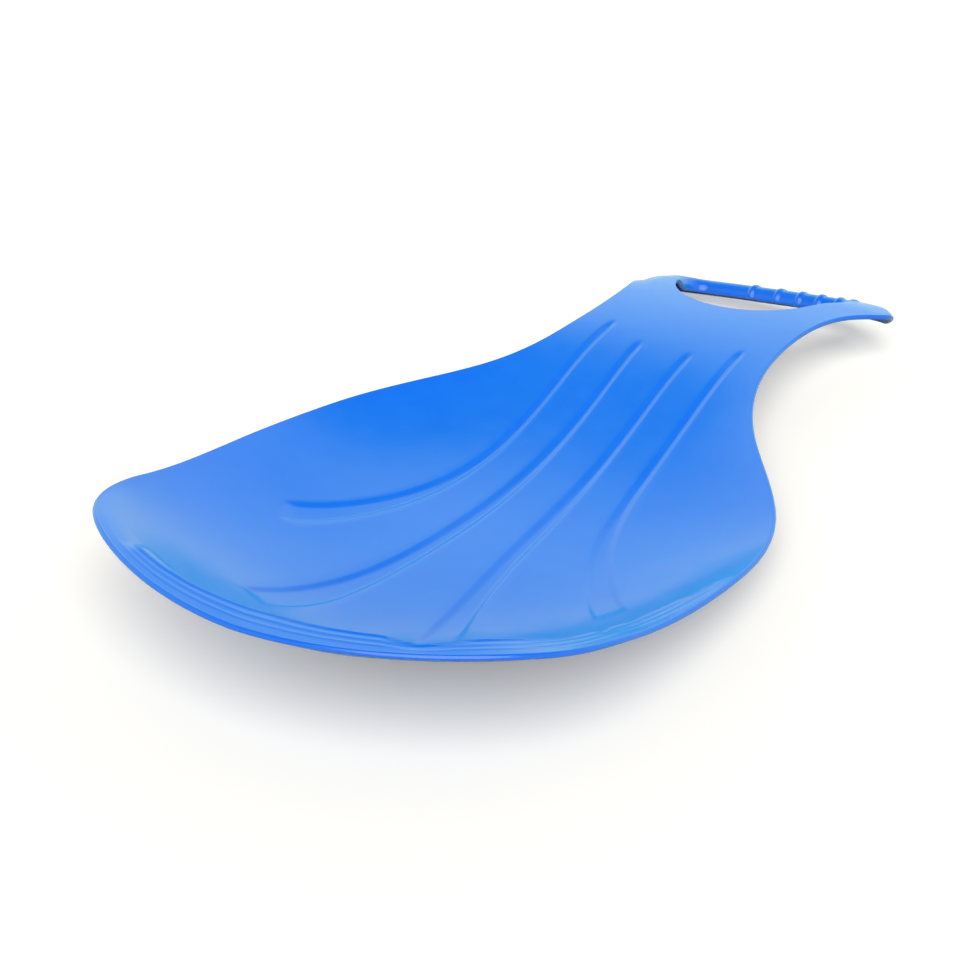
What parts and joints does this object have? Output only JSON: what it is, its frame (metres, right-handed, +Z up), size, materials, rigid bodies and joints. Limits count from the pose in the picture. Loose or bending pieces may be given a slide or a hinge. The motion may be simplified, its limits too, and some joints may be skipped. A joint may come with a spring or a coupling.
{
  "type": "snow slider",
  "caption": "One-piece moulded snow slider with a dished seat, pressed runners, a hand slot and a ringed grip bar.",
  "frame": {"origin": "middle of the bounding box's base, where the runners stand on the ground", "axes": "+Y from the rear lip to the grip bar, +X across to the right of a rider facing the grip, +Z up"},
  "size_m": [0.3092, 0.6054, 0.0717],
  "materials": {
    "blue_polyethylene": "gloss"
  },
  "bodies": {
    "root": {"slider_moulding": "blue_polyethylene"}
  },
  "joints": []
}
